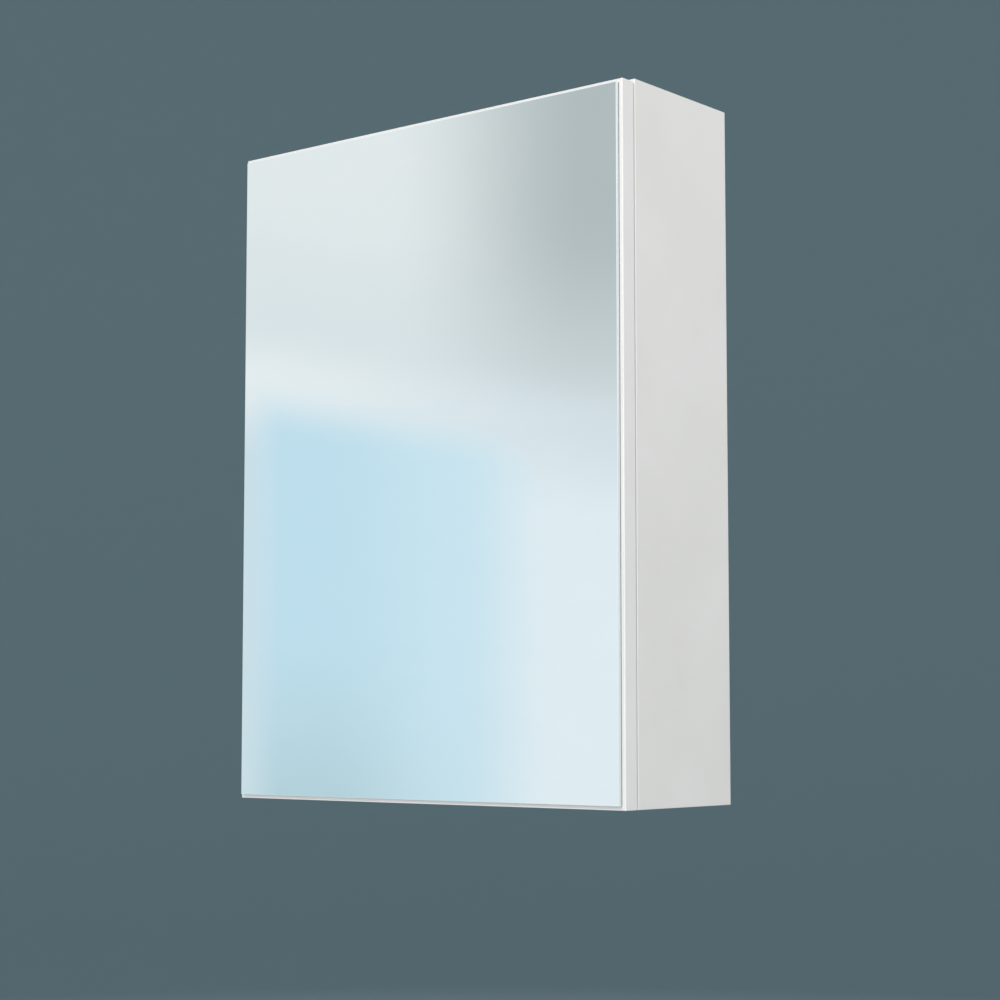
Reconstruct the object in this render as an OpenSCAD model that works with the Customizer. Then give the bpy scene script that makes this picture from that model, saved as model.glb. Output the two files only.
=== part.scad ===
// Mirrored wall cabinet with one door on concealed cup hinges.
// X runs to the right, Y towards the wall, Z up. The wall is the plane y = 0.
// The origin is at the wall, in the middle of the width, level with the cabinet's underside.

/* [Carcass] */
// Overall width of the carcass and of the door
cabinet_w = 400; // [300:5:600]
// Overall height of the carcass
cabinet_h = 550; // [450:5:800]
// Depth of the carcass, from the wall to its front edges
cabinet_d = 123; // [102:1:200]
// Thickness of the carcass boards
board_t = 15; // [12.5:0.5:19]
// Thickness of the back panel
back_t = 3; // [2.5:0.1:5]
// Depth of the groove that holds the back panel
groove_d = 6; // [4:0.5:8]
// Space behind the back panel, for the wall rail
rail_space = 16; // [14:0.5:24]
// Thickness of the edge bands on carcass and door
band_t = 1; // [0.5:0.1:2]

/* [Door] */
// Thickness of the door board
door_t = 15; // [12.5:0.5:22]
// Gap between the closed door and the carcass
door_gap = 1.2; // [1.2:0.1:2]
// How far the door's top edge is below the carcass's top
door_drop = 2.8; // [0:0.1:5]
// Thickness of the mirror glass
mirror_t = 3; // [2.5:0.1:5]
// Thickness of the silvering and safety film behind the glass
film_t = 0.2; // [0.2:0.05:0.4]
// Thickness of the mounting tape behind the mirror
tape_t = 0.4; // [0.3:0.1:1.5]
// Width of the white rim left showing round the mirror
mirror_border = 3; // [2:0.5:20]
// Widest angle that the door opens to, in degrees
door_open = 95; // [90:1:95]

/* [Shelves] */
// Thickness of the glass shelves
shelf_t = 5; // [4:0.5:8]
// Clearance at each end of a shelf
shelf_gap = 1.5; // [1:0.25:3]
// Diameter of the shelf pins
pin_d = 5; // [4:0.5:6]
// Distance between the holes of one row of shelf pin holes
pin_pitch = 32; // [20:1:32]

/* [Hinges] */
// Height of each hinge's middle from the cabinet's nearer end
hinge_inset = 100; // [85:1:120]

/* [Wall fixing] */
// Diameter of the screw holes in the wall rail
rail_hole_d = 5.5; // [4.5:0.5:7]
// Distance from each end of the wall rail to its screw hole
rail_hole_inset = 29; // [20:1:60]
// Thickness of the wall rail's steel
rail_t = 2; // [1.5:0.1:2.5]

/* [Hidden] */
$fn = 48;

white = [0.95, 0.95, 0.94];
cut = 1;                  // how far a cutting shape runs past the face it opens
fit = 0.05;               // clearance all round a piece that sits in its hole

inner_w = cabinet_w - 2 * board_t;
inner_x = inner_w / 2;
front_y = -cabinet_d;
back_y = -rail_space - back_t;        // front face of the back panel
top_z = cabinet_h - board_t;          // underside of the top panel
door_h = cabinet_h - door_drop;
door_back_y = front_y - door_gap;
door_face_y = door_back_y - door_t;
hinge_heights = [hinge_inset, cabinet_h - hinge_inset];

// Straight rods along each axis, and a shape copied to both sides
module rod_x(at, r, length) translate(at) rotate([0, 90, 0]) cylinder(r = r, h = length);
module rod_y(at, r, length) translate(at) rotate([-90, 0, 0]) cylinder(r = r, h = length);
module rod_z(at, r, length) translate(at) cylinder(r = r, h = length);
module block(from, to) translate(from) cube(to - from);
module on_side(side) mirror([side < 0 ? 1 : 0, 0, 0]) children();
module on_both_sides() for (side = [-1, 1]) on_side(side) children();

// Carcass joints: at each corner two cam bolts with a dowel between them
cam_r = 7.5;
cam_reach = 24;           // from the end of the board to the middle of the cam
cam_floor = 2.5;          // board left under a cam
bolt_r = 2.5;
bolt_head_r = 3.2;
bolt_bore_r = 4;
bolt_grip = 11;           // thread in the side panel
dowel_r = 4;
dowel_grip = 11;
dowel_l = 30;
cap_r = 8.6;
cap_t = 1;
cam_ys = [back_y - 18, front_y + 32];
dowel_y = (cam_ys[0] + cam_ys[1]) / 2;
board_zs = [0, top_z];    // undersides of the two horizontal boards
module at_cams() on_both_sides() for (y = cam_ys, z = board_zs) translate([inner_x, y, z]) children();
module at_dowels() on_both_sides() for (z = board_zs) translate([inner_x, dowel_y, z]) children();

module cam_holes() at_cams() {
    rod_z([-cam_reach, 0, cam_floor], cam_r, board_t);
    rod_x([-cam_reach, 0, board_t / 2], bolt_bore_r, cam_reach);
    rod_x([0, 0, board_t / 2], bolt_r + fit, bolt_grip + cut);
}
module dowel_holes() at_dowels()
    rod_x([dowel_grip - dowel_l - cut, 0, board_t / 2], dowel_r, dowel_l + 2 * cut);

module cam_locks() color("silver") at_cams() difference() {
    rod_z([-cam_reach, 0, cam_floor], cam_r - fit, board_t - cam_floor - 0.2);
    rod_x([-cam_reach - 1, 0, board_t / 2], bolt_head_r + 0.4, cam_r + 2);
    for (turn = [0, 90]) translate([-cam_reach, 0, board_t - 1.6]) rotate([0, 0, turn])
        translate([-4.5, -0.7, 0]) cube([9, 1.4, cam_floor]);
}
module cam_bolts() color("gainsboro") at_cams() {
    rod_x([-cam_reach, 0, board_t / 2], bolt_head_r, 2);
    rod_x([-cam_reach + 2, 0, board_t / 2], bolt_r, cam_reach - 2 + bolt_grip);
    rod_x([-2, 0, board_t / 2], bolt_bore_r - fit, 2);
}
module cam_caps() color(white) on_both_sides() for (y = cam_ys)
    rod_z([inner_x - cam_reach, y, board_t], cap_r, cap_t);
module wood_dowels() color("burlywood") at_dowels()
    rod_x([dowel_grip - dowel_l, 0, board_t / 2], dowel_r - fit, dowel_l);

// Grooves for the back panel, cut into all four boards
module back_grooves() block(
    [-inner_x - groove_d, back_y - fit, board_t - groove_d],
    [inner_x + groove_d, back_y + back_t + fit, top_z + groove_d]);

// Shelves rest on pads on spoon-shaped pins, in rows of holes that allow other heights
pad_t = 1;
spoon_t = 2;
spoon_l = 11;
spoon_w = 10;
spoon_drop = 9;
pin_grip = 8;
pin_ys = [back_y - 22, front_y + 30];
shelf_zs = [for (i = [1, 2]) board_t + i * (top_z - board_t) / 3];
shelf_front_y = front_y + 8;
shelf_back_y = back_y - 3;
module pin_holes() for (z = shelf_zs, y = pin_ys, step = [-1, 0, 1])
    rod_x([inner_x - cut, y, z - pad_t - pin_d / 2 + step * pin_pitch], pin_d / 2 + fit, pin_grip + 2 * cut);
module shelf_pins() color("silver") on_both_sides() for (z = shelf_zs, y = pin_ys)
    translate([inner_x, y, z - pad_t]) {
        rod_x([-1.5, 0, -pin_d / 2], pin_d / 2, pin_grip + 1.5);
        block([-1.5, -spoon_w / 2, -spoon_drop], [0, spoon_w / 2, 0]);
        block([-spoon_l, -spoon_w / 2, -spoon_t], [0, spoon_w / 2, 0]);
    }
module shelf_pads() color("whitesmoke") on_both_sides() for (z = shelf_zs, y = pin_ys)
    block([inner_x - spoon_l + 0.5, y - 4, z - pad_t], [inner_x - 2, y + 4, z]);
module shelf(z) color([0.8, 0.92, 0.9, 0.6]) block(
    [-inner_x + shelf_gap, shelf_front_y, z], [inner_x - shelf_gap, shelf_back_y, z + shelf_t]);

// Hangers: a housing in each top back corner holds a steel hook that drops behind the wall rail
hanger_w = 15;
hanger_l = 48;
hanger_h = 56;
hanger_wall = 2.5;
hanger_front = 4;
hook_t = 2.4;
hook_x = inner_x - 8;
hanger_top = top_z - 1;
hanger_back = back_y - 0.2;
rail_top = top_z - 30;
rail_off = 8;             // front of the rail's flange, from the wall
finger_from = -5.4;
finger_to = -2.6;
hook_drop = 10;
hook_front = hanger_back - hanger_l + hanger_front + 9;
screw_x = inner_x - 8;
lift_z = rail_top - 14;
depth_z = rail_top + 16;
adjuster_r = 2.5;
fixing_zs = [hanger_top - 8, hanger_top - hanger_h + 8];
fixing_r = 1.75;
fixing_grip = 10;
module hanger_fixing_holes() for (z = fixing_zs)
    rod_x([inner_x - hanger_wall - cut, hanger_back - 20, z], fixing_r + fit, fixing_grip + hanger_wall + 2 * cut);

module hanger_housing(side) color(white) on_side(side) difference() {
    block([inner_x - hanger_w, hanger_back - hanger_l, hanger_top - hanger_h],
        [inner_x, hanger_back, hanger_top]);
    block([inner_x - hanger_w + hanger_wall, hanger_back - hanger_l + hanger_front,
        hanger_top - hanger_h + hanger_wall],
        [inner_x - hanger_wall, hanger_back + cut, hanger_top - hanger_wall]);
    for (z = [lift_z, depth_z])
        rod_y([screw_x, hanger_back - hanger_l - cut, z], adjuster_r + fit, hanger_front + 2 * cut);
    hanger_fixing_holes();
}
module adjuster(z) color("silver") on_both_sides() difference() {
    rod_y([screw_x, hanger_back - hanger_l - 0.8, z], adjuster_r, hanger_front + 8);
    block([screw_x - 0.4, hanger_back - hanger_l - cut, z - 1.8],
        [screw_x + 0.4, hanger_back - hanger_l + 0.6, z + 1.8]);
    block([screw_x - 1.8, hanger_back - hanger_l - cut, z - 0.4],
        [screw_x + 1.8, hanger_back - hanger_l + 0.6, z + 0.4]);
}
module hanger_fixing_screws() color("silver") on_both_sides() for (z = fixing_zs) {
    rod_x([inner_x - hanger_wall - 2, hanger_back - 20, z], fixing_r + 1.4, 2);
    rod_x([inner_x - hanger_wall, hanger_back - 20, z], fixing_r, fixing_grip + hanger_wall);
}
module hanger_hook(side) color("silver") on_side(side) {
    block([hook_x - hook_t / 2, hook_front, rail_top - 12],
        [hook_x + hook_t / 2, back_y - 1, rail_top + 13]);
    block([hook_x - hook_t / 2, hook_front, rail_top], [hook_x + hook_t / 2, finger_to, rail_top + 9]);
    block([hook_x - hook_t / 2, finger_from, rail_top - hook_drop],
        [hook_x + hook_t / 2, finger_to, rail_top + 9]);
}
// Windows in the back panel, where the hooks reach through to the rail
module hook_windows() on_both_sides()
    block([hook_x - 5, back_y - cut, rail_top - 15], [hook_x + 5, back_y + back_t + cut, rail_top + 16]);

module wall_rail() {
    rail_x = inner_x - 6;
    hole_x = rail_x - rail_hole_inset;
    color("silver") difference() {
        translate([-rail_x, 0, 0]) rotate([90, 0, 90]) linear_extrude(2 * rail_x) polygon([
            [0, rail_top - 42], [0, rail_top - 18 + rail_t / 2], [rail_t - rail_off, rail_top - 12],
            [rail_t - rail_off, rail_top], [-rail_off, rail_top], [-rail_off, rail_top - 12 - rail_t / 2],
            [-rail_t, rail_top - 18], [-rail_t, rail_top - 42]]);
        for (x = [-hole_x, hole_x]) rod_y([x, -rail_t - cut, rail_top - 30], rail_hole_d / 2, rail_t + 2 * cut);
    }
}

// Hinges are drawn from the carcass's front left edge: x inwards, y out into the room, z from
// the middle of the hinge
module at_hinges(heights = hinge_heights)
    for (z = heights) translate([-cabinet_w / 2, front_y, z]) mirror([0, 1, 0]) children();
module strip(from, to, width) {
    run = to - from;
    translate(from) rotate(atan2(run[1], run[0])) translate([0, -width / 2]) square([norm(run), width]);
}
function turned(middle, radius, angle) = middle + radius * [cos(angle), sin(angle)];
function along(from, to, share) = from + share * (to - from);

// The door turns about one axis. Each link has the same length closed and fully open, because
// its arm pin stands half of the opening angle ahead of its cup pin, seen from that axis.
door_axis = [4, door_gap + 11.15];
inner_cup = turned(door_axis, 7.5, -62);
inner_arm = turned(door_axis, 23.5, -62 + door_open / 2);
outer_cup = turned(door_axis, 8.8, -66);
outer_arm = turned(door_axis, 29.5, -66 + door_open / 2);
function elbow(arm, cup, bow) =
    let (run = cup - arm) along(arm, cup, 0.6) + bow / norm(run) * [run[1], -run[0]];

link_gap = 0.3;
link_top = 3.8;           // the links fill this much on each side of the hinge's middle
link_pin_top = 3.9;
lug_from = 4.2;
lug_to = 5.2;
ear_from = 5.6;
ear_to = 6.8;
link_pin_r = 0.9;
arm_pin_r = 1.3;
link_w = 3.4;
link_bow = 3.2;
cup_d = 35;               // the standard size of hinge cup, and its distance from the door's edge
cup_depth = 11.5;
cup_edge = 3;
cup_floor = 0.8;
cup_wall = 0.9;
flange_t = 0.8;
link_window = 9.3;        // depth of the gap in the cup's near wall, where the links' ends pass
cup_s = cup_edge + cup_d / 2;         // middle of the cup, from the door's edge
flange_z = 29;
cup_screw_z = 24;
cup_screw_s = cup_s + 6;
cup_screw_r = 1.75;
cup_screw_grip = 10;
plate_t = 2;
plate_y = -37;            // line of the plate's screws, behind the carcass's front
plate_screw_z = 16;
plate_screw_r = 2.5;
plate_screw_grip = 10;
boss_s = board_t + 7;
boss_z = 5.2;
arm_web = 1.4;
arm_back = -60;
arm_top = boss_s + 0.5 + arm_web;
arm_screw_ys = [-30, -50];
arm_screw_r = 2.2;

module link(arm, cup, low, high) {
    mid = elbow(arm, cup, link_bow);
    color("silver") difference() {
        translate([0, 0, low]) linear_extrude(high - low) {
            strip(arm, mid, link_w);
            strip(mid, cup, link_w);
            translate(mid) circle(link_w / 2);
            translate(arm) circle(arm_pin_r + 1);
            translate(cup) circle(link_pin_r + 0.9);
        }
        rod_z([arm[0], arm[1], low - cut], arm_pin_r + fit, high - low + 2 * cut);
        rod_z([cup[0], cup[1], low - cut], link_pin_r + fit, high - low + 2 * cut);
    }
}
module inner_link(z) at_hinges([z]) link(inner_arm, inner_cup, link_gap, link_top);
module outer_link(z) at_hinges([z]) link(outer_arm, outer_cup, -link_top, -link_gap);
module inner_link_pins() color("dimgray") at_hinges()
    rod_z([inner_cup[0], inner_cup[1], link_gap], link_pin_r, link_pin_top - link_gap);
module outer_link_pins() color("dimgray") at_hinges()
    rod_z([outer_cup[0], outer_cup[1], -link_pin_top], link_pin_r, link_pin_top - link_gap);
module hinge_arm_pins() color("dimgray") at_hinges() {
    rod_z([inner_arm[0], inner_arm[1], link_gap], arm_pin_r, ear_to + 0.5 - link_gap);
    rod_z([outer_arm[0], outer_arm[1], -ear_to - 0.5], arm_pin_r, ear_to + 0.5 - link_gap);
}

module hinge_plate(z) color("silver") at_hinges([z]) difference() {
    union() {
        block([board_t, plate_y - 21, -9], [board_t + plate_t, plate_y + 17, 9]);
        block([board_t, plate_y - 8, -26], [board_t + plate_t, plate_y + 8, 26]);
        block([board_t, plate_y - 19, -boss_z], [boss_s, plate_y + 15, boss_z]);
    }
    for (side = [-1, 1])
        rod_x([board_t - cut, plate_y, side * plate_screw_z], plate_screw_r + fit, plate_t + 2 * cut);
    for (y = arm_screw_ys) rod_x([board_t + plate_t, y, 0], arm_screw_r + fit, boss_s);
}
module hinge_plate_screws() color("silver") at_hinges() for (side = [-1, 1]) {
    rod_x([board_t - plate_screw_grip, plate_y, side * plate_screw_z], plate_screw_r, plate_screw_grip + plate_t);
    rod_x([board_t + plate_t, plate_y, side * plate_screw_z], plate_screw_r + 2, 1.6);
}
module plate_screw_holes() at_hinges() for (side = [-1, 1])
    rod_x([board_t - plate_screw_grip - cut, plate_y, side * plate_screw_z],
        plate_screw_r + fit, plate_screw_grip + 2 * cut);

module hinge_arm(z) color("gainsboro") at_hinges([z]) difference() {
    union() {
        block([arm_top - arm_web, arm_back, -ear_to], [arm_top, -6, ear_to]);
        for (low = [-ear_to, ear_from]) {
            block([board_t + plate_t + 0.5, arm_back, low], [arm_top, -8, low + ear_to - ear_from]);
            translate([0, 0, low]) linear_extrude(ear_to - ear_from) polygon([
                [board_t + plate_t + 0.5, -9], [arm_top, -9], outer_arm + [2.2, -2],
                outer_arm + [2.4, 0.6], inner_arm + [1, 2.4], inner_arm + [-2.4, 1]]);
            rod_z([outer_arm[0], outer_arm[1], low], arm_pin_r + 1.2, ear_to - ear_from);
            rod_z([inner_arm[0], inner_arm[1], low], arm_pin_r + 1.2, ear_to - ear_from);
        }
    }
    rod_z([inner_arm[0], inner_arm[1], 0], arm_pin_r + fit, ear_to + cut);
    rod_z([outer_arm[0], outer_arm[1], -ear_to - cut], arm_pin_r + fit, ear_to + cut);
    for (y = arm_screw_ys) rod_x([arm_top - arm_web - cut, y, 0], arm_screw_r + fit, arm_web + 2 * cut);
}
module hinge_arm_screws() color("silver") at_hinges() for (y = arm_screw_ys) difference() {
    union() {
        rod_x([board_t + plate_t + 0.5, y, 0], arm_screw_r, arm_top - board_t - plate_t - 0.5);
        rod_x([arm_top, y, 0], arm_screw_r + 1.4, 1.6);
    }
    for (turn = [0, 90]) translate([arm_top + 1, y, 0]) rotate([turn, 0, 0])
        translate([0, -2.2, -0.4]) cube([cut, 4.4, 0.8]);
}
// A leaf spring lies in the arm, between the plate's boss and the pins
module hinge_springs() color("dimgray") at_hinges()
    block([arm_top - arm_web - 0.9, -19, -4], [arm_top - arm_web - 0.3, -7, 4]);

module hinge_cup(z) color("silver") at_hinges([z]) difference() {
    union() {
        difference() {
            union() {
                rod_y([cup_s, door_gap, 0], cup_d / 2 - fit, cup_depth);
                block([cup_edge + 1, door_gap - flange_t, -9], [cup_s + 20, door_gap, 9]);
                block([cup_screw_s - 7, door_gap - flange_t, -flange_z], [cup_screw_s + 6, door_gap, flange_z]);
            }
            rod_y([cup_s, door_gap - flange_t - cut, 0], cup_d / 2 - cup_wall, cup_depth + flange_t + cut - cup_floor);
        }
        intersection() {
            rod_y([cup_s, door_gap, 0], cup_d / 2 - fit, cup_depth);
            for (low = [-lug_to, lug_from])
                block([cup_edge, door_gap + 0.6, low], [outer_cup[0] + 2.4, door_gap + cup_depth, low + lug_to - lug_from]);
        }
    }
    block([cup_edge - cut, door_gap - flange_t - cut, -lug_from],
        [cup_edge + 4, door_gap + link_window, lug_from]);
    for (side = [-1, 1])
        rod_y([cup_screw_s, door_gap - flange_t - cut, side * cup_screw_z], cup_screw_r + fit, flange_t + 2 * cut);
}
module hinge_cup_screws() color("silver") at_hinges() for (side = [-1, 1]) {
    rod_y([cup_screw_s, door_gap - flange_t, side * cup_screw_z], cup_screw_r, flange_t + cup_screw_grip);
    rod_y([cup_screw_s, door_gap - flange_t - 1.2, side * cup_screw_z], cup_screw_r + 1.6, 1.2);
}
module cup_holes() at_hinges() {
    rod_y([cup_s, door_gap - cut, 0], cup_d / 2, cup_depth + cut);
    for (side = [-1, 1])
        rod_y([cup_screw_s, door_gap - cut, side * cup_screw_z], cup_screw_r + fit, cup_screw_grip + 2 * cut);
}

// Carcass boards
module side_panel(side) color(white) difference() {
    on_side(side) difference() {
        block([inner_x, front_y + band_t, 0], [cabinet_w / 2, 0, cabinet_h]);
        pin_holes();
        hanger_fixing_holes();
    }
    back_grooves();
    cam_holes();
    dowel_holes();
    if (side < 0) plate_screw_holes();
}
module level_panel(z) color(white) difference() {
    block([-inner_x, front_y + band_t, z], [inner_x, 0, z + board_t]);
    back_grooves();
    cam_holes();
    dowel_holes();
}
module back_panel() color("whitesmoke") difference() {
    block([-inner_x - groove_d + 0.3, back_y, board_t - groove_d + 0.3],
        [inner_x + groove_d - 0.3, back_y + back_t, top_z + groove_d - 0.3]);
    hook_windows();
}
module edge_band_upright(side) color(white) on_side(side)
    block([inner_x, front_y, 0], [cabinet_w / 2, front_y + band_t, cabinet_h]);
module edge_band_level(z) color(white)
    block([-inner_x, front_y, z], [inner_x, front_y + band_t, z + board_t]);

// Door
module door_panel() color(white) difference() {
    block([band_t - cabinet_w / 2, door_face_y, band_t], [cabinet_w / 2 - band_t, door_back_y, door_h - band_t]);
    cup_holes();
}
module door_band_upright(side) color(white) on_side(side)
    block([cabinet_w / 2 - band_t, door_face_y, 0], [cabinet_w / 2, door_back_y, door_h]);
module door_band_level(z) color(white)
    block([band_t - cabinet_w / 2, door_face_y, z], [cabinet_w / 2 - band_t, door_back_y, z + band_t]);

mirror_x = cabinet_w / 2 - mirror_border;
film_y = door_face_y - tape_t;
glass_y = film_y - film_t;
tape_inset = 2.5;
tape_w = 18;
tape_n = 5;
module mirror_glass() color([0.75, 0.87, 0.9]) block(
    [-mirror_x, glass_y - mirror_t, mirror_border], [mirror_x, glass_y, door_h - mirror_border]);
module mirror_backing() color("lightslategray") block(
    [-mirror_x, glass_y, mirror_border], [mirror_x, film_y, door_h - mirror_border]);
module mirror_tape() color("dimgray") for (i = [0 : tape_n - 1]) {
    x = -mirror_x + tape_inset + i * (2 * mirror_x - 2 * tape_inset - tape_w) / (tape_n - 1);
    block([x, film_y, mirror_border + tape_inset], [x + tape_w, door_face_y, door_h - mirror_border - tape_inset]);
}
bumper_r = 4;
bumper_t = door_gap - 0.3;
module door_bumpers() color([0.9, 0.9, 0.9, 0.6]) for (z = [20, door_h - 20])
    rod_y([cabinet_w / 2 - board_t / 2, door_back_y, z], bumper_r, bumper_t);

side_panel(-1);  // side_panel_left
side_panel(1);  // side_panel_right
level_panel(top_z);  // top_panel
level_panel(0);  // bottom_panel
back_panel();
edge_band_upright(-1);  // edge_band_left
edge_band_upright(1);  // edge_band_right
edge_band_level(top_z);  // edge_band_top
edge_band_level(0);  // edge_band_bottom
cam_locks();
cam_bolts();
cam_caps();
wood_dowels();
shelf(shelf_zs[1]);  // shelf_upper
shelf(shelf_zs[0]);  // shelf_lower
shelf_pins();
shelf_pads();
wall_rail();
hanger_housing(-1);  // hanger_housing_left
hanger_housing(1);  // hanger_housing_right
hanger_hook(-1);  // hanger_hook_left
hanger_hook(1);  // hanger_hook_right
adjuster(lift_z);  // hanger_lift_screws
adjuster(depth_z);  // hanger_depth_screws
hanger_fixing_screws();
hinge_plate(hinge_heights[1]);  // hinge_plate_upper
hinge_plate(hinge_heights[0]);  // hinge_plate_lower
hinge_plate_screws();
hinge_arm(hinge_heights[1]);  // hinge_arm_upper
hinge_arm(hinge_heights[0]);  // hinge_arm_lower
hinge_arm_screws();
hinge_arm_pins();
hinge_springs();
inner_link(hinge_heights[1]);  // inner_link_upper
inner_link(hinge_heights[0]);  // inner_link_lower
outer_link(hinge_heights[1]);  // outer_link_upper
outer_link(hinge_heights[0]);  // outer_link_lower
inner_link_pins();
outer_link_pins();
door_panel();
door_band_upright(-1);  // door_band_left
door_band_upright(1);  // door_band_right
door_band_level(door_h - band_t);  // door_band_top
door_band_level(0);  // door_band_bottom
mirror_glass();
mirror_backing();
mirror_tape();
hinge_cup(hinge_heights[1]);  // hinge_cup_upper
hinge_cup(hinge_heights[0]);  // hinge_cup_lower
hinge_cup_screws();
door_bumpers();
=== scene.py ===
import bmesh
import bpy
import math
import numpy as np
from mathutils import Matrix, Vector


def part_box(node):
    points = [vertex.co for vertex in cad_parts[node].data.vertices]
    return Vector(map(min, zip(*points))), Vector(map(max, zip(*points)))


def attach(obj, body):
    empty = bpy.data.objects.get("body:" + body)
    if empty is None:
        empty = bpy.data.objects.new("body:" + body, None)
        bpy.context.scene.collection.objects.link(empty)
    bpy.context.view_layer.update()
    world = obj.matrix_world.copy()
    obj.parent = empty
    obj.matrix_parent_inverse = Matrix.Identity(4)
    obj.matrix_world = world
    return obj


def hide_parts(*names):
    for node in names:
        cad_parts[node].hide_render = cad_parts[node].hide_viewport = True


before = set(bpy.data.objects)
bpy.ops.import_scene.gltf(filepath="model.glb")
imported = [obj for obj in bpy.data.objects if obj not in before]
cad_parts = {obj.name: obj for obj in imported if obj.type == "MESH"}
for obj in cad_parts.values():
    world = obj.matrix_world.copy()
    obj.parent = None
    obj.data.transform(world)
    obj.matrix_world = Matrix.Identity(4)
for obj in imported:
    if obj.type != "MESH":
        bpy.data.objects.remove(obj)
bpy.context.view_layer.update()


# ---- Camera ----
# Stands to the right of the cabinet and a little above its underside, as someone would who
# looks up at it from the next room. A long lens, tilted up, with a small shift to frame it.
door_corner = Vector((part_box("door_band_right")[1].x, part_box("door_panel")[0].y,
                      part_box("door_band_bottom")[0].z))
viewpoint = bpy.data.objects.new("viewpoint", bpy.data.cameras.new("long_lens"))
from_corner = Vector((0.9548, -1.3159, 0.0716))
tilt_up, turn_left = 4.86, 39.2
viewpoint.location = door_corner + from_corner
viewpoint.rotation_euler = (math.radians(90 + tilt_up), 0, math.radians(turn_left))
viewpoint.data.sensor_width = 36
viewpoint.data.lens = 79.4
viewpoint.data.shift_y = 0.025
bpy.context.scene.collection.objects.link(viewpoint)
bpy.context.scene.camera = viewpoint
bpy.context.scene.view_settings.view_transform = "Standard"


# ---- Studio ----
# A round room with a pale floor. The half behind the cabinet is painted a blue-grey; the half in
# front glows softly, like pale walls and a wide window, and is what the mirror shows.
def tone(code):
    """sRGB hex to linear colour: a channel up to 0.04045 is divided by 12.92, and any other is
    raised by 0.055, divided by 1.055 and taken to the power 2.4."""
    c = np.array([int(code[i:i + 2], 16) for i in (1, 3, 5)]) / 255
    return tuple(np.where(c <= 0.04045, c / 12.92, ((c + 0.055) / 1.055) ** 2.4)) + (1.0,)


def add(tree, kind, inputs=(), **settings):
    """Adds a node to a material. An input that is another node's socket is linked, and any other is set."""
    node = tree.nodes.new("ShaderNode" + kind)
    for name, value in settings.items():
        setattr(node, name, value)
    for name, value in dict(inputs).items():
        if isinstance(value, bpy.types.NodeSocket):
            tree.links.new(value, node.inputs[name])
        else:
            node.inputs[name].default_value = value
    return node


def ease_in(value, start, end):
    """0 before start, 1 after end, and 3 t^2 - 2 t^3 between them."""
    t = np.clip((value - start) / (end - start), 0, 1)
    return t * t * (3 - 2 * t)


def grid_faces(rows, columns):
    """Four-cornered faces of a grid that closes on itself across its columns."""
    r, c = np.meshgrid(np.arange(rows - 1), np.arange(columns), indexing="ij")
    n = (c + 1) % columns
    here, above = r * columns, (r + 1) * columns
    return np.stack([here + c, here + n, above + n, above + c], -1).reshape(-1, 4)


def studio_paint(x, y, z):
    """Wall colours by place, from the angle round the room in degrees and the height in metres.
    Blue-grey behind. In front, from above the window's head down: grey that darkens towards the
    middle of the room, a light band, then a pale blue pane in a whiter surround."""
    def rgb(code):
        return np.array(tone(code)[:3])

    def mix(a, b, share):
        return a * (1 - share[..., None]) + b * share[..., None]

    angle = np.degrees(np.arctan2(-x, -y))
    head_z, head_fall, pane_x = 0.842, 0.2156, -2.47
    head = head_z - head_fall * (x - pane_x)
    band = mix(rgb("#ecf1f3"), rgb("#dbe4ea"), ease_in(-angle, -46, -33))
    surround = mix(rgb("#e7f0f5"), rgb("#d3e3eb"), ease_in(angle, 44.6, 46.0))
    surround = mix(surround, band, ease_in(z - head, -0.25, 0.0))
    pane = mix(rgb("#c5e2f0"), rgb("#b6d0d7"), ease_in(-z, -0.35, 0.40))
    pane = mix(pane, rgb("#d1e9f4"), ease_in(-angle, -43.5, -38.5) * 0.8)
    ceiling = mix(rgb("#e0e7ea"), rgb("#e9edee"), ease_in(z - head, 0.15, 0.6))
    ceiling = mix(ceiling, rgb("#b7bfc1"), ease_in(-angle, -41.5, -34) * ease_in(z, 0.6, 1.5))
    in_pane = ease_in(angle, 35.2, 38.8) * ease_in(-angle, -46.4, -45.0)
    wall = mix(surround, pane, in_pane * ease_in(head - z, 0.0, 0.16))
    wall = mix(wall, ceiling, ease_in(z - head, 0.0, 0.16))
    wall = mix(wall, rgb("#eef3f5"), ease_in(z, 1.9, 2.6))
    front = ease_in(-y, -0.6, 0.9)
    on_floor = ease_in(-z, 0.72, 1.0)
    painted = mix(rgb("#6c838c"), wall, front)
    return mix(painted, rgb("#dcdedf"), on_floor), front * (1 - on_floor)


room_r, room_floor, room_top, cove_r = 4.5, -1.2, 3.2, 0.6
floor_rings, wall_rings = 12, 90
turn = np.linspace(0, 2 * np.pi, 720, endpoint=False)
bend = np.linspace(0, np.pi / 2, 10)
outline = np.concatenate([
    np.stack([np.linspace(0.01, room_r - cove_r, floor_rings), np.full(floor_rings, room_floor)], 1)[:-1],
    np.stack([room_r - cove_r + cove_r * np.sin(bend), room_floor + cove_r * (1 - np.cos(bend))], 1),
    np.stack([np.full(wall_rings, room_r), np.linspace(room_floor + cove_r, room_top, wall_rings)], 1)[1:]])
room_x = outline[:, :1] * np.cos(turn)
room_y = outline[:, :1] * np.sin(turn)
room_z = np.repeat(outline[:, 1:], len(turn), 1)
room_points = np.stack([room_x, room_y, room_z], -1).reshape(-1, 3)
room_mesh = bpy.data.meshes.new("studio_room")
room_mesh.from_pydata(room_points, [], grid_faces(len(outline), len(turn))[:, ::-1])
paint, glow = studio_paint(room_x, room_y, room_z)
room_mesh.attributes.new("paint", "FLOAT_COLOR", "POINT").data.foreach_set(
    "color", np.concatenate([paint, np.ones(paint.shape[:2] + (1,))], -1).astype(np.float32).ravel())
room_mesh.attributes.new("glow", "FLOAT", "POINT").data.foreach_set("value", glow.astype(np.float32).ravel())
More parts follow.
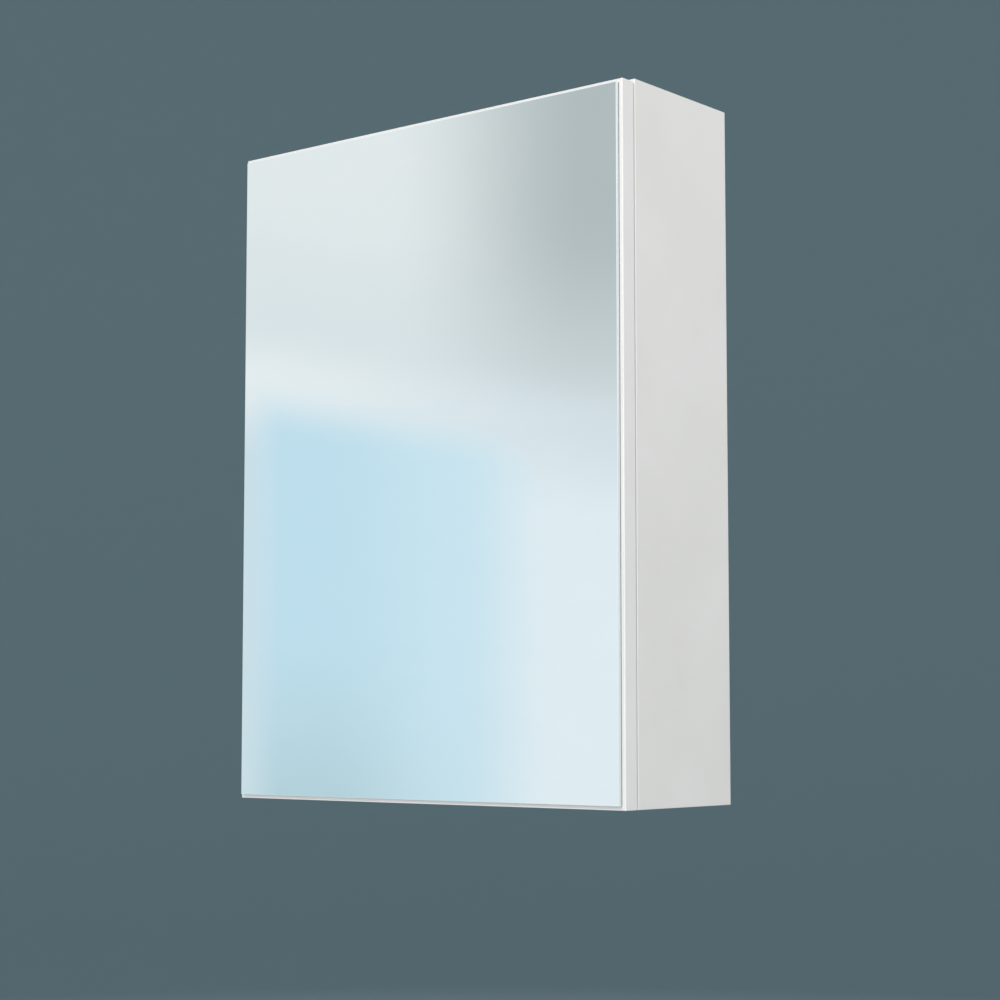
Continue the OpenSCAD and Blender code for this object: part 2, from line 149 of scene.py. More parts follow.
room_mesh.shade_smooth()
# Matt paint behind the cabinet. In front, the same colours glow as painted light, which lights the cabinet
# and is what the mirror reflects.
room_paint = bpy.data.materials.new("matt_paint_and_glow")
room_paint.use_nodes = True
tree = room_paint.node_tree
tree.nodes.clear()
painted = add(tree, "Attribute", attribute_name="paint").outputs["Color"]
lit_up = add(tree, "Attribute", attribute_name="glow").outputs["Fac"]
matt = add(tree, "BsdfDiffuse", {"Color": painted}).outputs[0]
light = add(tree, "Emission", {"Color": painted, "Strength": 1.0}).outputs[0]
add(tree, "OutputMaterial", {"Surface": add(tree, "MixShader", {0: lit_up, 1: matt, 2: light}).outputs[0]})
room_paint.cycles.emission_sampling = "NONE"
room_mesh.materials.append(room_paint)
studio_room = bpy.data.objects.new("studio_room", room_mesh)
bpy.context.scene.collection.objects.link(studio_room)

sky = bpy.data.worlds.new("open_ceiling")
sky.use_nodes = True
sky.node_tree.nodes["Background"].inputs["Color"].default_value = tone("#fbf5f1")
sky.node_tree.nodes["Background"].inputs["Strength"].default_value = 0.52
bpy.context.scene.world = sky
# Each soft box has its place, the height it looks at over the cabinet's middle, its width and its watts
warm_white, aim_y = (1.0, 0.95, 0.92), -0.07
for name, place, aim_z, size, power in (
        ("softbox_right", (2.0, 0.35, 1.2), 0.27, 1.0, 14),
        ("softbox_front", (0.9, -3.6, 2.3), 0.27, 2.4, 98),
        ("softbox_back", (-2.4, 3.0, 2.2), 2.2, 2.2, 60)):
    lamp = bpy.data.lights.new(name, "AREA")
    lamp.size, lamp.energy, lamp.color = size, power, warm_white
    lamp_object = bpy.data.objects.new(name, lamp)
    lamp_object.location = place
    towards = Vector((0, aim_y, aim_z)) - Vector(place)
    lamp_object.rotation_euler = towards.to_track_quat("-Z", "Y").to_euler()
    bpy.context.scene.collection.objects.link(lamp_object)


# ---- Carcass boards: side_panel_left, side_panel_right, top_panel, bottom_panel ----
# Chipboard faced with white melamine, sawn to size and drilled on a boring machine. The sides run
# the full height, the top and bottom stand between them, and all four are grooved for the back.
def start_material(name):
    """A new material's tree with its output, and its principled shader and Object coordinates to build on."""
    made = bpy.data.materials.new(name)
    made.use_nodes = True
    made.node_tree.nodes.clear()
    shader = add(made.node_tree, "BsdfPrincipled")
    add(made.node_tree, "OutputMaterial", {"Surface": shader.outputs[0]})
    return made, made.node_tree, shader, add(made.node_tree, "TexCoord").outputs["Object"]


def feed(shader, name, node):
    """Links a node's first output to one of the shader's inputs."""
    shader.id_data.links.new(node.outputs[0], shader.inputs[name])


def near_edge(tree, width):
    """1 on an arris and 0 away from it, from how far the surface turns within that width, and the
    rounded normal."""
    rounded = add(tree, "Bevel", {"Radius": width}, samples=6)
    flat = add(tree, "NewGeometry").outputs["Normal"]
    turned_by = add(tree, "VectorMath", {0: rounded.outputs[0], 1: flat}, operation="DOT_PRODUCT")
    share = add(tree, "MapRange", {"Value": turned_by.outputs["Value"], "From Min": 0.995, "From Max": 0.80})
    return share.outputs[0], rounded.outputs[0]


def give(material, *names):
    """Puts a material on CAD nodes."""
    for name in names:
        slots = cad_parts[name].material_slots
        if not slots:
            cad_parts[name].data.materials.append(material)
        for one in slots:
            one.material = material


# Melamine: satin white, with the press plate's faint pearl, cloudy handling marks and duller arrises.
# Here and below, a pattern's Scale is 1 over its size in metres.
melamine, tree, shader, spot = start_material("melamine_on_chipboard")
clouds = add(tree, "TexNoise", {"Vector": spot, "Scale": 1 / 0.11, "Detail": 3,
                                "Roughness": 0.5}).outputs["Fac"]
pearl = add(tree, "TexNoise", {"Vector": spot, "Scale": 1 / 0.0021, "Detail": 2}).outputs["Fac"]
arris, soft_normal = near_edge(tree, 0.0009)
shade = add(tree, "MapRange", {"Value": clouds, "From Min": 0.3, "From Max": 0.7}).outputs[0]
white = add(tree, "MixRGB", {"Fac": shade, "Color1": tone("#f0f0ef"), "Color2": tone("#eaeae8")}).outputs[0]
scuffed = add(tree, "Math", {0: arris, 1: pearl}, operation="MULTIPLY").outputs[0]
feed(shader, "Base Color", add(tree, "MixRGB", {"Fac": scuffed, "Color1": white, "Color2": tone("#cfceca")}))
feed(shader, "Roughness", add(tree, "MapRange", {"Value": clouds, "From Min": 0.3, "From Max": 0.7,
                                                 "To Min": 0.34, "To Max": 0.44}))
feed(shader, "Normal", add(tree, "Bump", {"Height": pearl, "Strength": 0.10, "Distance": 0.0002,
                                          "Normal": soft_normal}))
give(melamine, "side_panel_left", "side_panel_right", "top_panel", "bottom_panel")


# ---- Front edges: edge_band_left, edge_band_right, edge_band_top, edge_band_bottom ----
# White ABS strip a millimetre thick, glued over the boards' sawn front edges with hot glue, and
# its corners scraped to a small round.
def face_normals(mesh):
    """Each face's direction, a row to a face."""
    flat = np.zeros(len(mesh.polygons) * 3)
    mesh.polygons.foreach_get("normal", flat)
    return flat.reshape(-1, 3)


def make_piece(name, shape, material, body, slot, *nodes, crease=35, square=False):
    """A mesh object that rides on a body and stands for CAD nodes: doubles merged, faces turned
    outwards, smooth except where it turns by more than the crease angle. On a square piece the
    faces that lie along an axis stay dead flat."""
    mesh = bpy.data.meshes.new(name)
    points, faces = shape
    mesh.from_pydata(points, [], faces)
    work = bmesh.new()
    work.from_mesh(mesh)
    bmesh.ops.remove_doubles(work, verts=work.verts, dist=1e-6)
    bmesh.ops.dissolve_degenerate(work, edges=work.edges, dist=1e-7)
    bmesh.ops.recalc_face_normals(work, faces=work.faces)
    work.to_mesh(mesh)
    work.free()
    mesh.shade_smooth()
    mesh.set_sharp_from_angle(angle=math.radians(crease))
    if square:
        mesh.polygons.foreach_set("use_smooth", np.abs(face_normals(mesh)).max(1) < 0.9999)
    mesh.materials.append(material)
    piece = bpy.data.objects.new(name, mesh)
    bpy.context.scene.collection.objects.link(piece)
    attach(piece, body)
    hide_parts(*nodes)
    return piece


def edge_strip(low, high, out, along, ease=0.0008, steps=5):
    """A cross-section run along the strip's length: a rectangle whose two outer corners are quarter
    circles of radius ease. Out is the axis and sign it faces."""
    low, high = np.array(low, float), np.array(high, float)
    face, sign = out
    across = 3 - face - along
    bend = np.linspace(0, np.pi / 2, steps + 1)
    wide, thick = high[across] - low[across], high[face] - low[face]
    w = np.concatenate([[0, wide], wide - ease + ease * np.cos(bend), ease - ease * np.sin(bend)])
    t = np.concatenate([[0, 0], thick - ease + ease * np.sin(bend), thick - ease + ease * np.cos(bend)])
    points = np.zeros((2, len(w), 3))
    points[..., across] = low[across] + w
    points[..., face] = low[face] + t if sign > 0 else high[face] - t
    points[..., along] = np.array([[low[along]], [high[along]]])
    n = len(w)
    return points.reshape(-1, 3), [tuple(f) for f in grid_faces(2, n)] + [tuple(range(n)),
                                                                          tuple(range(n, 2 * n))]


# ABS strip: satin like the board, with faint roller lines and a paler scraped corner
abs_band, tree, shader, spot = start_material("abs_edge_strip")
lines = add(tree, "TexNoise", {"Vector": add(tree, "Mapping", {"Vector": spot,
                                                               "Scale": (1, 1, 0.03)}).outputs[0],
                               "Scale": 1 / 0.0016, "Detail": 2}).outputs["Fac"]
clouds = add(tree, "TexNoise", {"Vector": spot, "Scale": 1 / 0.06, "Detail": 3}).outputs["Fac"]
arris, soft_normal = near_edge(tree, 0.0006)
white = add(tree, "MixRGB", {"Fac": clouds, "Color1": tone("#f3f3f3"), "Color2": tone("#ebebea")}).outputs[0]
pale = add(tree, "Math", {0: arris, 1: lines}, operation="MULTIPLY").outputs[0]
feed(shader, "Base Color", add(tree, "MixRGB", {"Fac": pale, "Color1": white, "Color2": tone("#fbfbfa")}))
feed(shader, "Roughness", add(tree, "MapRange", {"Value": lines, "To Min": 0.36, "To Max": 0.48}))
feed(shader, "Normal", add(tree, "Bump", {"Height": lines, "Strength": 0.12, "Distance": 0.0001,
                                          "Normal": soft_normal}))
for name, along in (("edge_band_left", 2), ("edge_band_right", 2), ("edge_band_top", 0),
                    ("edge_band_bottom", 0)):
    make_piece(name.replace("edge_band", "abs_strip"), edge_strip(*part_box(name), out=(1, -1), along=along),
               abs_band, "case", "edge_band", name, square=True)


# ---- Back panel: back_panel ----
# Thin fibreboard lacquered white on its front, slid into the boards' grooves from below before the
# last board goes on, with a window in each top corner for the hanger's hook.
# Lacquer on fibreboard: dull white with a fine orange peel and faint fibres
back_lacquer, tree, shader, spot = start_material("lacquered_fibreboard")
peel = add(tree, "TexNoise", {"Vector": spot, "Scale": 1 / 0.004, "Detail": 2}).outputs["Fac"]
fibres = add(tree, "TexNoise", {"Vector": add(tree, "Mapping",
                                              {"Vector": spot, "Scale": (1, 1, 6)}).outputs[0],
                                "Scale": 1 / 0.02, "Detail": 5}).outputs["Fac"]
feed(shader, "Base Color", add(tree, "MixRGB", {"Fac": fibres, "Color1": tone("#ebebe9"),
                                                "Color2": tone("#e2e1de")}))
feed(shader, "Roughness", add(tree, "MapRange", {"Value": peel, "To Min": 0.42, "To Max": 0.58}))
feed(shader, "Normal", add(tree, "Bump", {"Height": peel, "Strength": 0.2, "Distance": 0.0003}))
give(back_lacquer, "back_panel")


# ---- Corner fittings: cam_locks, cam_bolts, wood_dowels, cam_caps ----
# At each corner two steel bolts are screwed into the side and drawn in by zinc cams, with a beech
# dowel between them to keep the boards in line. Caps cover the cams on the cabinet's floor.
# Die-cast zinc: dull grey metal with the mould's grainy skin and brighter rubbed arrises
cast_zinc, tree, shader, spot = start_material("die_cast_zinc")
skin = add(tree, "TexNoise", {"Vector": spot, "Scale": 1 / 0.0008, "Detail": 4}).outputs["Fac"]
stain = add(tree, "TexNoise", {"Vector": spot, "Scale": 1 / 0.008, "Detail": 3}).outputs["Fac"]
arris, soft_normal = near_edge(tree, 0.0005)
grey = add(tree, "MixRGB", {"Fac": stain, "Color1": tone("#b9babb"), "Color2": tone("#9fa1a3")}).outputs[0]
feed(shader, "Base Color", add(tree, "MixRGB", {"Fac": arris, "Color1": grey, "Color2": tone("#d6d6d5")}))
shader.inputs["Metallic"].default_value = 1.0
feed(shader, "Roughness", add(tree, "MapRange", {"Value": skin, "From Min": 0.3, "From Max": 0.7,
                                                 "To Min": 0.34, "To Max": 0.52}))
feed(shader, "Normal", add(tree, "Bump", {"Height": skin, "Strength": 0.25, "Distance": 0.0001,
                                          "Normal": soft_normal}))
give(cast_zinc, "cam_locks")

# Nickel-plated steel: bright and slightly warm, with fine drawing lines and faint finger marks
nickel, tree, shader, spot = start_material("nickel_plated_steel")
drawn = add(tree, "TexNoise", {"Vector": add(tree, "Mapping", {"Vector": spot,
                                                               "Scale": (1, 0.05, 1)}).outputs[0],
                               "Scale": 1 / 0.0005, "Detail": 3}).outputs["Fac"]
marks = add(tree, "TexNoise", {"Vector": spot, "Scale": 1 / 0.012, "Detail": 4}).outputs["Fac"]
arris, soft_normal = near_edge(tree, 0.0004)
plate_tone = add(tree, "MixRGB", {"Fac": marks, "Color1": tone("#d8d5cf"),
                                  "Color2": tone("#c3c1bc")}).outputs[0]
feed(shader, "Base Color", add(tree, "MixRGB", {"Fac": arris, "Color1": plate_tone,
                                                "Color2": tone("#e9e7e3")}))
shader.inputs["Metallic"].default_value = 1.0
feed(shader, "Roughness", add(tree, "MapRange", {"Value": marks, "From Min": 0.3, "From Max": 0.7,
                                                 "To Min": 0.20, "To Max": 0.34}))
feed(shader, "Normal", add(tree, "Bump", {"Height": drawn, "Strength": 0.12, "Distance": 0.00008,
                                          "Normal": soft_normal}))
give(nickel, "cam_bolts")

# Beech: pale brown with short dark flecks along the dowel and pressed flutes
beech, tree, shader, spot = start_material("fluted_beech")
flecks = add(tree, "TexNoise", {"Vector": add(tree, "Mapping",
                                              {"Vector": spot, "Scale": (0.15, 1, 1)}).outputs[0],
                                "Scale": 1 / 0.0009, "Detail": 4}).outputs["Fac"]
flutes = add(tree, "TexWave", {"Vector": spot, "Scale": 180, "Distortion": 0.4},
             bands_direction="Z").outputs["Fac"]
feed(shader, "Base Color", add(tree, "MixRGB", {"Fac": flecks, "Color1": tone("#cfae82"),
                                                "Color2": tone("#a98355")}))
shader.inputs["Roughness"].default_value = 0.6
feed(shader, "Normal", add(tree, "Bump", {"Height": flutes, "Strength": 0.4, "Distance": 0.0003}))
give(beech, "wood_dowels")


def gather(shapes):
    """Several shapes as one: each one's faces count on from the points before it."""
    points = np.concatenate([p for p, f in shapes])
    starts = np.cumsum([0] + [len(p) for p, f in shapes[:-1]])
    return points, [tuple(int(i) + int(s) for i in face) for s, (p, f) in zip(starts, shapes) for face in f]


def turned_shape(places, profile, way="z", recess=None, segments=40):
    """A profile of radius and height spun round an axis, once at each place. A recess takes its
    depth off the height wherever the point lies within its cross, which fades out at its ends."""
    spin = np.linspace(0, 2 * np.pi, segments, endpoint=False)
    r, h = np.array(profile, float).T
    across, along_it = np.outer(r, np.cos(spin)), np.outer(r, np.sin(spin))
    height = np.repeat(h[:, None], segments, 1)
    if recess:
        width, reach, depth, top = recess
        arm = np.minimum(np.abs(across), np.abs(along_it))
        ends = ease_in(np.hypot(across, along_it), reach * 0.8, reach)
        inside = (1 - ease_in(arm, width * 0.5, width * 0.8)) * (1 - ends)
        height = height - depth * inside * (height >= top)
    local = {"z": (across, along_it, height), "x": (height, across, along_it),
             "y": (across, height, along_it),
             "-x": (-height, across, along_it), "-y": (across, -height, along_it)}[way]
    points = np.stack(local, -1).reshape(-1, 3)
    faces = [tuple(f) for f in grid_faces(len(r), segments)]
    return gather([(points + np.array(p), faces) for p in places])


# Moulded plastic: white with a fine spark-eroded texture and slightly shinier rubbed arrises
moulded, tree, shader, spot = start_material("moulded_white_plastic")
spark = add(tree, "TexNoise", {"Vector": spot, "Scale": 1 / 0.0009, "Detail": 3}).outputs["Fac"]
flow = add(tree, "TexNoise", {"Vector": spot, "Scale": 1 / 0.02, "Detail": 2}).outputs["Fac"]
arris, soft_normal = near_edge(tree, 0.0006)
feed(shader, "Base Color", add(tree, "MixRGB", {"Fac": flow, "Color1": tone("#f0f0ee"),
                                                "Color2": tone("#e6e6e3")}))
feed(shader, "Roughness", add(tree, "MapRange", {"Value": arris, "To Min": 0.46, "To Max": 0.28}))
feed(shader, "Normal", add(tree, "Bump", {"Height": spark, "Strength": 0.18, "Distance": 0.0001,
                                          "Normal": soft_normal}))
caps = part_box("cam_caps")
cap_r = 0.0086
cap_places = [(x, y, caps[0].z) for x in (caps[0].x + cap_r, caps[1].x - cap_r)
              for y in (caps[0].y + cap_r, caps[1].y - cap_r)]
cap_profile = [(0, 0), (cap_r, 0), (cap_r, 0.0004), (cap_r - 0.0002, 0.0008), (cap_r - 0.0006, 0.001),
               (cap_r - 0.0022, 0.001), (cap_r - 0.0026, 0.0008), (cap_r - 0.0036, 0.00075), (0, 0.00085)]
make_piece("cam_cover_caps", turned_shape(cap_places, cap_profile), moulded, "case", "white_plastic",
           "cam_caps")


# ---- Shelves: shelf_upper, shelf_lower ----
# Clear float glass cut to size, its edges ground and polished, loose on its four pins so that it
# can be moved to another row of holes.
def eased_block(low, high, ease, steps=4):
    """A ball of radius ease, cut in eight and pulled apart to a block's corners: each point is the
    inner block's corner in its direction, plus ease times that direction."""
    low, high = np.array(low, float), np.array(high, float)
    around = np.concatenate([q * np.pi / 2 + np.linspace(0, np.pi / 2, steps + 1) for q in range(4)])
    corner_x = np.repeat([1, -1, -1, 1], steps + 1)
    corner_y = np.repeat([1, 1, -1, -1], steps + 1)
    climb = np.concatenate([np.linspace(-np.pi / 2, 0, steps + 1), np.linspace(0, np.pi / 2, steps + 1)])
    corner_z = np.repeat([-1, 1], steps + 1)
    way = np.stack([np.outer(np.cos(climb), np.cos(around)), np.outer(np.cos(climb), np.sin(around)),
                    np.repeat(np.sin(climb)[:, None], len(around), 1)], -1)
    side = np.stack([np.broadcast_to(corner_x, way.shape[:2]), np.broadcast_to(corner_y, way.shape[:2]),
                     np.repeat(corner_z[:, None], len(around), 1)], -1)
    points = (low + high) / 2 + side * ((high - low) / 2 - ease) + way * ease
    faces = [tuple(f) for f in grid_faces(len(climb), len(around))]
    last = (len(climb) - 1) * len(around)
    ends = [tuple(range(len(around)))[::-1], tuple(range(last, last + len(around)))]
    return points.reshape(-1, 3), faces + ends


# Float glass: clear and faintly green, with a few greasy wipe marks
float_glass, tree, shader, spot = start_material("float_glass")
wiped = add(tree, "TexNoise", {"Vector": add(tree, "Mapping", {"Vector": spot,
                                                               "Scale": (1, 3, 1)}).outputs[0],
                               "Scale": 1 / 0.05, "Detail": 5}).outputs["Fac"]
shader.inputs["Base Color"].default_value = tone("#edf8f4")
shader.inputs["Transmission Weight"].default_value = 1.0
shader.inputs["IOR"].default_value = 1.52
feed(shader, "Roughness", add(tree, "MapRange", {"Value": wiped, "From Min": 0.5, "From Max": 0.8,
                                                 "To Min": 0.0, "To Max": 0.06}))

# Ground edge: the green of the glass's depth, with the wheel's fine lines across it
ground_edge, tree, shader, spot = start_material("ground_glass_edge")
wheel = add(tree, "TexNoise", {"Vector": add(tree, "Mapping", {"Vector": spot,
                                                               "Scale": (1, 0.1, 1)}).outputs[0],
                               "Scale": 1 / 0.0006, "Detail": 3}).outputs["Fac"]
depth = add(tree, "TexNoise", {"Vector": spot, "Scale": 1 / 0.05, "Detail": 2}).outputs["Fac"]
feed(shader, "Base Color", add(tree, "MixRGB", {"Fac": depth, "Color1": tone("#b5d6cb"),
                                                "Color2": tone("#9cc6b8")}))
shader.inputs["Transmission Weight"].default_value = 0.5
shader.inputs["IOR"].default_value = 1.52
feed(shader, "Roughness", add(tree, "MapRange", {"Value": wheel, "To Min": 0.12, "To Max": 0.4}))
feed(shader, "Normal", add(tree, "Bump", {"Height": wheel, "Strength": 0.1, "Distance": 0.0001}))
for name in ("shelf_upper", "shelf_lower"):
    shelf = make_piece("glass_" + name, eased_block(*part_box(name), ease=0.0006), float_glass, "case",
                       "shelf_glass", name, square=True)
    shelf.data.materials.append(ground_edge)
    on_side = np.abs(face_normals(shelf.data)[:, 2]) < 0.9
    shelf.data.polygons.foreach_set("material_index", on_side.astype(np.int32))


# ---- Shelf supports: shelf_pins, shelf_pads ----
# Pressed steel spoons, nickel-plated, pushed into the rows of holes, each with a clear soft pad
# stuck on it to stop the glass sliding.
give(nickel, "shelf_pins")
# Soft clear plastic: cloudy, with a faint bloom
clear_pad, tree, shader, spot = start_material("soft_clear_plastic")
bloom = add(tree, "TexNoise", {"Vector": spot, "Scale": 1 / 0.002, "Detail": 3}).outputs["Fac"]
feed(shader, "Base Color", add(tree, "MixRGB", {"Fac": bloom, "Color1": tone("#eef0f0"),
                                                "Color2": tone("#dfe3e3")}))
shader.inputs["Transmission Weight"].default_value = 0.55
shader.inputs["IOR"].default_value = 1.49
feed(shader, "Roughness", add(tree, "MapRange", {"Value": bloom, "To Min": 0.22, "To Max": 0.45}))
feed(shader, "Normal", add(tree, "Bump", {"Height": bloom, "Strength": 0.15, "Distance": 0.0001}))
give(clear_pad, "shelf_pads")


# ---- Wall rail: wall_rail ----
# Galvanised steel strip folded to an S, screwed to the wall through two holes. Its upper flange
# stands off the wall for the hooks to drop behind.
# Hot-dip galvanising: large zinc crystals that each catch the light their own way
galvanised, tree, shader, spot = start_material("galvanised_steel")
crystals = add(tree, "TexVoronoi", {"Vector": spot, "Scale": 1 / 0.007}).outputs["Color"]
facet = add(tree, "SeparateColor", {0: crystals}).outputs[0]
arris, soft_normal = near_edge(tree, 0.0005)
spangle = add(tree, "MixRGB", {"Fac": facet, "Color1": tone("#b3b8bb"),
                               "Color2": tone("#9aa0a5")}).outputs[0]
feed(shader, "Base Color", add(tree, "MixRGB", {"Fac": arris, "Color1": spangle, "Color2": tone("#cfd3d4")}))
shader.inputs["Metallic"].default_value = 1.0
feed(shader, "Roughness", add(tree, "MapRange", {"Value": facet, "To Min": 0.3, "To Max": 0.5}))
feed(shader, "Normal", add(tree, "Bump", {"Height": facet, "Strength": 0.08, "Distance": 0.0001,
                                          "Normal": soft_normal}))
give(galvanised, "wall_rail")


# ---- Hangers: hanger_housing_*, hanger_hook_*, hanger_lift_screws, hanger_depth_screws ----
# A moulded housing is screwed into each top back corner. The steel hook in it is raised by one
# cross-head screw and drawn in by the other, which turn from inside the cabinet.
give(moulded, "hanger_housing_left", "hanger_housing_right")
give(nickel, "hanger_hook_left", "hanger_hook_right", "hanger_lift_screws", "hanger_depth_screws")
give(nickel, "hanger_fixing_screws")


# ---- Hinge plates and their screws: hinge_plate_upper, hinge_plate_lower, hinge_plate_screws ----
# Cross-shaped zinc castings on the left side panel. Each is held by two pan-head screws in the
# panel's row of holes, above and below the boss that the hinge arm clips over.
def pan_head(radius, height):
    """Outline of a screw's head from its rim to its middle: a short wall, then a quarter of an ellipse."""
    bow = np.linspace(0, np.pi / 2, 9)
    return [(radius, 0), *zip(radius * np.cos(bow), height * (0.25 + 0.75 * np.sin(bow)))]


def with_core(profile, extra=7):
    """Splits the last step of an outline, up to the middle, so that a recess has points to press in."""
    (r0, h0), (r1, h1) = profile[-2], profile[-1]
    share = np.linspace(0, 1, extra)[1:]
    return profile[:-1] + [(r0 + (r1 - r0) * s, h0 + (h1 - h0) * s) for s in share]


give(cast_zinc, "hinge_plate_upper", "hinge_plate_lower")
plate_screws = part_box("hinge_plate_screws")
plate_head_r, plate_head_t, plate_pitch = 0.0045, 0.0016, 0.032
plate_heads_x = plate_screws[1].x - plate_head_t
plate_screw_y = (plate_screws[0].y + plate_screws[1].y) / 2
plate_screw_z = [(low.z + high.z) / 2 + d
                 for low, high in (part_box("hinge_plate_upper"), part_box("hinge_plate_lower"))
                 for d in (-plate_pitch / 2, plate_pitch / 2)]
shank = [(0, -0.012), (0.0015, -0.012), (0.0025, -0.0095), (0.0025, 0)]
make_piece("plate_fixing_screws",
           turned_shape([(plate_heads_x, plate_screw_y, z) for z in plate_screw_z],
                        with_core(shank + pan_head(plate_head_r, plate_head_t)), "x",
                        recess=(0.0011, 0.0027, 0.0009, 0.0003), segments=48),
           nickel, "case", "plated_steel", "hinge_plate_screws", crease=50)


# ---- Hinge arms: hinge_arm_upper, hinge_arm_lower, hinge_arm_screws, hinge_arm_pins, hinge_springs ----
# Pressed from nickel-plated steel strip, folded to a channel over the plate's boss. Two screws set
# it; its nose holds the links' rivets, and a spring leaf lies under its web.
give(nickel, "hinge_arm_upper", "hinge_arm_lower", "hinge_arm_screws")
# Hardened steel: dark oiled grey with a bluish heat tint
rivet_steel, tree, shader, spot = start_material("hardened_steel")
heat = add(tree, "TexNoise", {"Vector": spot, "Scale": 1 / 0.003, "Detail": 3}).outputs["Fac"]
feed(shader, "Base Color", add(tree, "MixRGB", {"Fac": heat, "Color1": tone("#8f8f92"),
                                                "Color2": tone("#75767c")}))
shader.inputs["Metallic"].default_value = 1.0
feed(shader, "Roughness", add(tree, "MapRange", {"Value": heat, "To Min": 0.22, "To Max": 0.4}))
feed(shader, "Normal", add(tree, "Bump", {"Height": heat, "Strength": 0.1, "Distance": 0.0001}))
give(rivet_steel, "hinge_arm_pins", "hinge_springs")


# ---- Hinge links: inner_link_*, outer_link_*, inner_link_pins, outer_link_pins ----
# Steel bars with a bend near the cup, one above the other, that carry the cup on its rivets.
give(nickel, "inner_link_upper", "inner_link_lower", "outer_link_upper", "outer_link_lower")
give(rivet_steel, "inner_link_pins", "outer_link_pins")


# ---- Door board: door_panel, door_band_left, door_band_right, door_band_top, door_band_bottom ----
# The same white board, edged all round with ABS strip, with two cups bored into its back.
give(melamine, "door_panel")
for name, out, along in (("door_band_left", (0, -1), 2), ("door_band_right", (0, 1), 2),
                         ("door_band_top", (2, 1), 0), ("door_band_bottom", (2, -1), 0)):
    make_piece(name.replace("door_band", "door_strip"), edge_strip(*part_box(name), out=out, along=along),
               abs_band, "door", "edge_band", name, square=True)


# ---- Hinge cups: hinge_cup_upper, hinge_cup_lower, hinge_cup_screws ----
# Deep-drawn nickel-plated steel, pressed into the door's bores, each flange held by two screws.
give(nickel, "hinge_cup_upper", "hinge_cup_lower")
cup_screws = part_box("hinge_cup_screws")
cup_screw_x = (cup_screws[0].x + cup_screws[1].x) / 2
cup_head_r, cup_head_t, cup_pitch = 0.00335, 0.0012, 0.048
cup_heads_y = cup_screws[1].y - cup_head_t
cup_screw_z = [(low.z + high.z) / 2 + d
               for low, high in (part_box("hinge_cup_upper"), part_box("hinge_cup_lower"))
               for d in (-cup_pitch / 2, cup_pitch / 2)]
short_shank = [(0, -0.0107), (0.0011, -0.0107), (0.00175, -0.009), (0.00175, 0)]
make_piece("cup_fixing_screws",
           turned_shape([(cup_screw_x, cup_heads_y, z) for z in cup_screw_z],
                        with_core(short_shank + pan_head(cup_head_r, cup_head_t)), "y",
                        recess=(0.0009, 0.0021, 0.0007, 0.0002), segments=48),
           nickel, "door", "plated_steel", "hinge_cup_screws", crease=50)


# ---- Mirror: mirror_tape, mirror_backing, mirror_glass ----
# Silvered float glass with a safety film on its back, held to the door by strips of foam tape and
# smaller than the door by a narrow rim all round. Its edges are ground to a small arris.
# Foam tape: dark grey, open pores
foam_tape, tree, shader, spot = start_material("foam_tape")
pores = add(tree, "TexVoronoi", {"Vector": spot, "Scale": 1 / 0.0012}).outputs["Distance"]
feed(shader, "Base Color", add(tree, "MixRGB", {"Fac": pores, "Color1": tone("#3a3b3c"),
                                                "Color2": tone("#5a5b5c")}))
shader.inputs["Roughness"].default_value = 0.85
feed(shader, "Normal", add(tree, "Bump", {"Height": pores, "Strength": 0.3, "Distance": 0.0002}))
give(foam_tape, "mirror_tape")

# Safety film: grey, slightly wrinkled, over the silver's paint
safety_film, tree, shader, spot = start_material("grey_safety_film")
wrinkle = add(tree, "TexNoise", {"Vector": spot, "Scale": 1 / 0.01, "Detail": 4}).outputs["Fac"]
feed(shader, "Base Color", add(tree, "MixRGB", {"Fac": wrinkle, "Color1": tone("#6f7679"),
                                                "Color2": tone("#5f666a")}))
feed(shader, "Roughness", add(tree, "MapRange", {"Value": wrinkle, "To Min": 0.35, "To Max": 0.55}))
feed(shader, "Normal", add(tree, "Bump", {"Height": wrinkle, "Strength": 0.2, "Distance": 0.0002}))
give(safety_film, "mirror_backing")

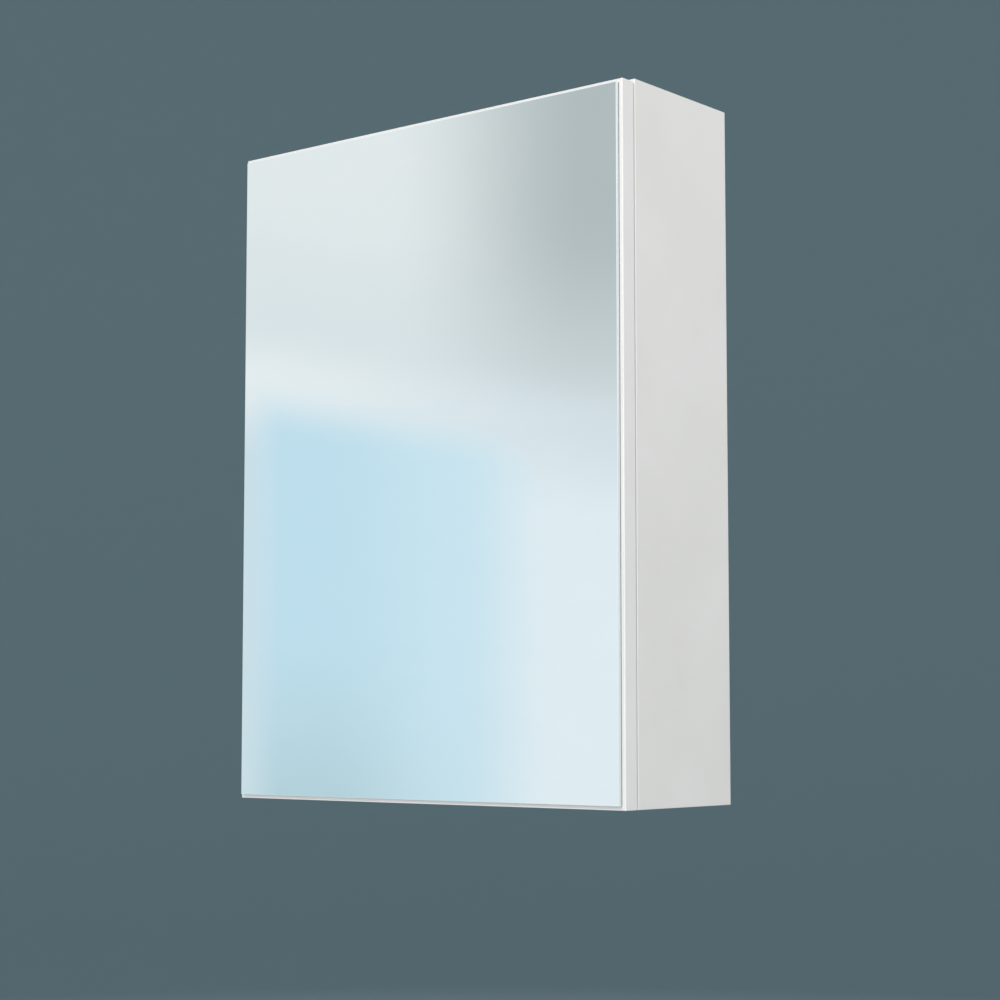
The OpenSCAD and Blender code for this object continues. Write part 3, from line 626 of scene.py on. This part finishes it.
# Silvering under polished glass: a full reflection with the glass's cool tint, and wipe marks that
# blur it by a trace
silvered, tree, shader, spot = start_material("silvered_float_glass")
wiped = add(tree, "TexNoise", {"Vector": add(tree, "Mapping", {"Vector": spot,
                                                               "Scale": (1, 1, 2.5)}).outputs[0],
                               "Scale": 1 / 0.07, "Detail": 5, "Roughness": 0.6}).outputs["Fac"]
feed(shader, "Base Color", add(tree, "MixRGB", {"Fac": wiped, "Color1": tone("#f8fcfc"),
                                                "Color2": tone("#f3f9fa")}))
shader.inputs["Metallic"].default_value = 1.0
feed(shader, "Roughness", add(tree, "MapRange", {"Value": wiped, "From Min": 0.35, "From Max": 0.8,
                                                 "To Min": 0.01, "To Max": 0.07}))

# Mirror's ground edge: pale cool grey where the silver lights the glass from behind
mirror_edge, tree, shader, spot = start_material("ground_mirror_edge")
wheel = add(tree, "TexNoise", {"Vector": add(tree, "Mapping", {"Vector": spot,
                                                               "Scale": (1, 1, 0.1)}).outputs[0],
                               "Scale": 1 / 0.0006, "Detail": 3}).outputs["Fac"]
depth = add(tree, "TexNoise", {"Vector": spot, "Scale": 1 / 0.08, "Detail": 2}).outputs["Fac"]
feed(shader, "Base Color", add(tree, "MixRGB", {"Fac": depth, "Color1": tone("#e2ecee"),
                                                "Color2": tone("#d3dfe2")}))
shader.inputs["IOR"].default_value = 1.52
feed(shader, "Roughness", add(tree, "MapRange", {"Value": wheel, "To Min": 0.2, "To Max": 0.4}))
feed(shader, "Normal", add(tree, "Bump", {"Height": wheel, "Strength": 0.1, "Distance": 0.0001}))
mirror = make_piece("mirror_pane", eased_block(*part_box("mirror_glass"), ease=0.0004), mirror_edge, "door",
                    "mirror", "mirror_glass", square=True)
mirror.data.materials.append(silvered)
on_front = face_normals(mirror.data)[:, 1] < -0.99
mirror.data.polygons.foreach_set("material_index", on_front.astype(np.int32))


# ---- Door bumpers: door_bumpers ----
# Clear soft domes stuck on the back of the door near its free corners, that meet the side panel.
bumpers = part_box("door_bumpers")
bumper_r, bumper_t = (bumpers[1].x - bumpers[0].x) / 2, bumpers[1].y - bumpers[0].y
dome = np.linspace(0, np.pi / 2, 8)
dome_profile = [(0, 0), (bumper_r, 0), *zip(bumper_r * (0.55 + 0.45 * np.cos(dome)),
                                            bumper_t * np.sin(dome)), (0, bumper_t)]
bumper_x = (bumpers[0].x + bumpers[1].x) / 2
dome_places = [(bumper_x, bumpers[0].y, z) for z in (bumpers[0].z + bumper_r, bumpers[1].z - bumper_r)]
make_piece("bumper_domes", turned_shape(dome_places, dome_profile, "y"), clear_pad, "door", "clear_pad",
           "door_bumpers")
